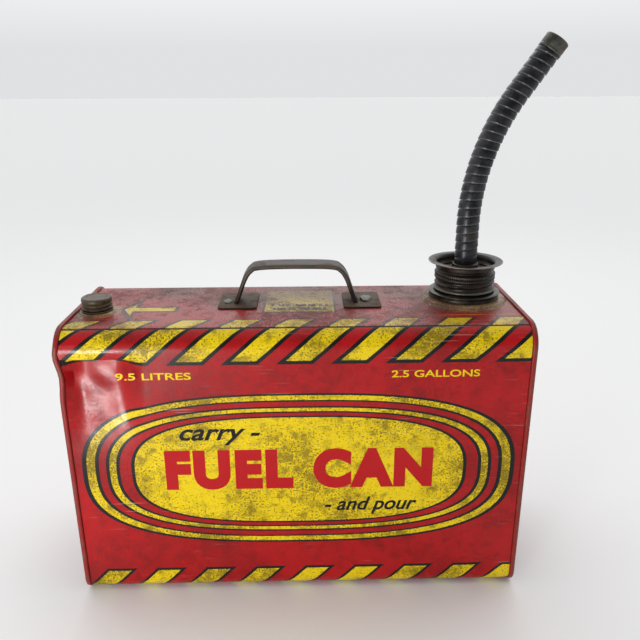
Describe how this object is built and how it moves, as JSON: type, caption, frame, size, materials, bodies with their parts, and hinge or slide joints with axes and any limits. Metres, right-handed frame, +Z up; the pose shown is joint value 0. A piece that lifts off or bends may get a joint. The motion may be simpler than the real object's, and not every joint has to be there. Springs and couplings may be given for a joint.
{
  "type": "fuel can",
  "caption": "Flat-sided tinplate fuel can with rolled end seams, strap carry handle, screw vent cap and a bendable metal hose spout held by a screw collar",
  "frame": {"origin": "middle of the flat bottom, on the surface the can stands on", "axes": "+X towards the spout end, +Y to the back, +Z up"},
  "size_m": [0.3754, 0.132, 0.427],
  "materials": {
    "red_litho": "lithographed gloss paint on tinplate",
    "seam_paint": "worn paint on rolled seam",
    "rusty_steel": "browned steel with rust",
    "dark_steel": "dark oiled steel",
    "solder": "dull soft solder",
    "black_rubber": "matt moulded rubber",
    "cork": "pressed cork"
  },
  "bodies": {
    "can": {"body_wrap": "red_litho", "top_panel": "red_litho", "left_end_panel": "seam_paint", "right_end_panel": "seam_paint", "handle_strap": "rusty_steel", "handle_foot_plate_left": "rusty_steel", "handle_foot_plate_right": "rusty_steel", "solder_bead_left": "solder", "solder_bead_right": "solder", "filler_neck": "dark_steel", "vent_neck": "dark_steel"},
    "spout_seal": {"spout_gasket": "black_rubber"},
    "collar": {"spout_collar": "rusty_steel"},
    "spout": {"spout_base_disc": "dark_steel", "hose_socket": "dark_steel", "hose_section_1": "dark_steel"},
    "hose_low": {"hose_section_2": "dark_steel"},
    "hose_middle": {"hose_section_3": "dark_steel"},
    "hose_high": {"hose_section_4": "dark_steel"},
    "hose_end": {"hose_section_5": "dark_steel", "nozzle_tip": "dark_steel"},
    "vent_seal": {"vent_liner": "cork"},
    "vent_top": {"vent_cap": "rusty_steel"}
  },
  "joints": [
    {"name": "spout_lift", "type": "slide", "parent": "can", "child": "spout_seal", "axis": [0, 0, 1], "range_m": [0, 0.0135]},
    {"name": "collar_turn", "type": "hinge", "parent": "spout_seal", "child": "collar", "pos_m": [0.136, 0.012, 0.24], "axis": [0, 0, 1], "range_deg": [0, 1081]},
    {"name": "spout_swivel", "type": "hinge", "parent": "spout_seal", "child": "spout", "pos_m": [0.136, 0.012, 0.248], "axis": [0, 0, 1], "continuous": true},
    {"name": "hose_bend_1", "type": "hinge", "parent": "spout", "child": "hose_low", "pos_m": [0.136, 0.012, 0.2847], "axis": [0, 1, 0], "range_deg": [-30, 19]},
    {"name": "hose_bend_2", "type": "hinge", "parent": "hose_low", "child": "hose_middle", "pos_m": [0.13965, 0.012, 0.32045], "axis": [0, 1, 0], "range_deg": [-36, 13]},
    {"name": "hose_bend_3", "type": "hinge", "parent": "hose_middle", "child": "hose_high", "pos_m": [0.15046, 0.012, 0.35473], "axis": [0, 1, 0], "range_deg": [-36, 13]},
    {"name": "hose_bend_4", "type": "hinge", "parent": "hose_high", "child": "hose_end", "pos_m": [0.16797, 0.012, 0.38611], "axis": [0, 1, 0], "range_deg": [-30, 19]},
    {"name": "vent_lift", "type": "slide", "parent": "can", "child": "vent_seal", "axis": [0, 0, 1], "range_m": [0, 0.0075]},
    {"name": "vent_cap_turn", "type": "hinge", "parent": "vent_seal", "child": "vent_top", "pos_m": [-0.1565, -0.013, 0.23], "axis": [0, 0, 1], "range_deg": [0, 1081]}
  ],
  "couplings": [
    {"joint": "collar_turn", "follows": "spout_lift", "rad_per_m": 1396.3},
    {"joint": "vent_cap_turn", "follows": "vent_lift", "rad_per_m": 2513.3}
  ]
}
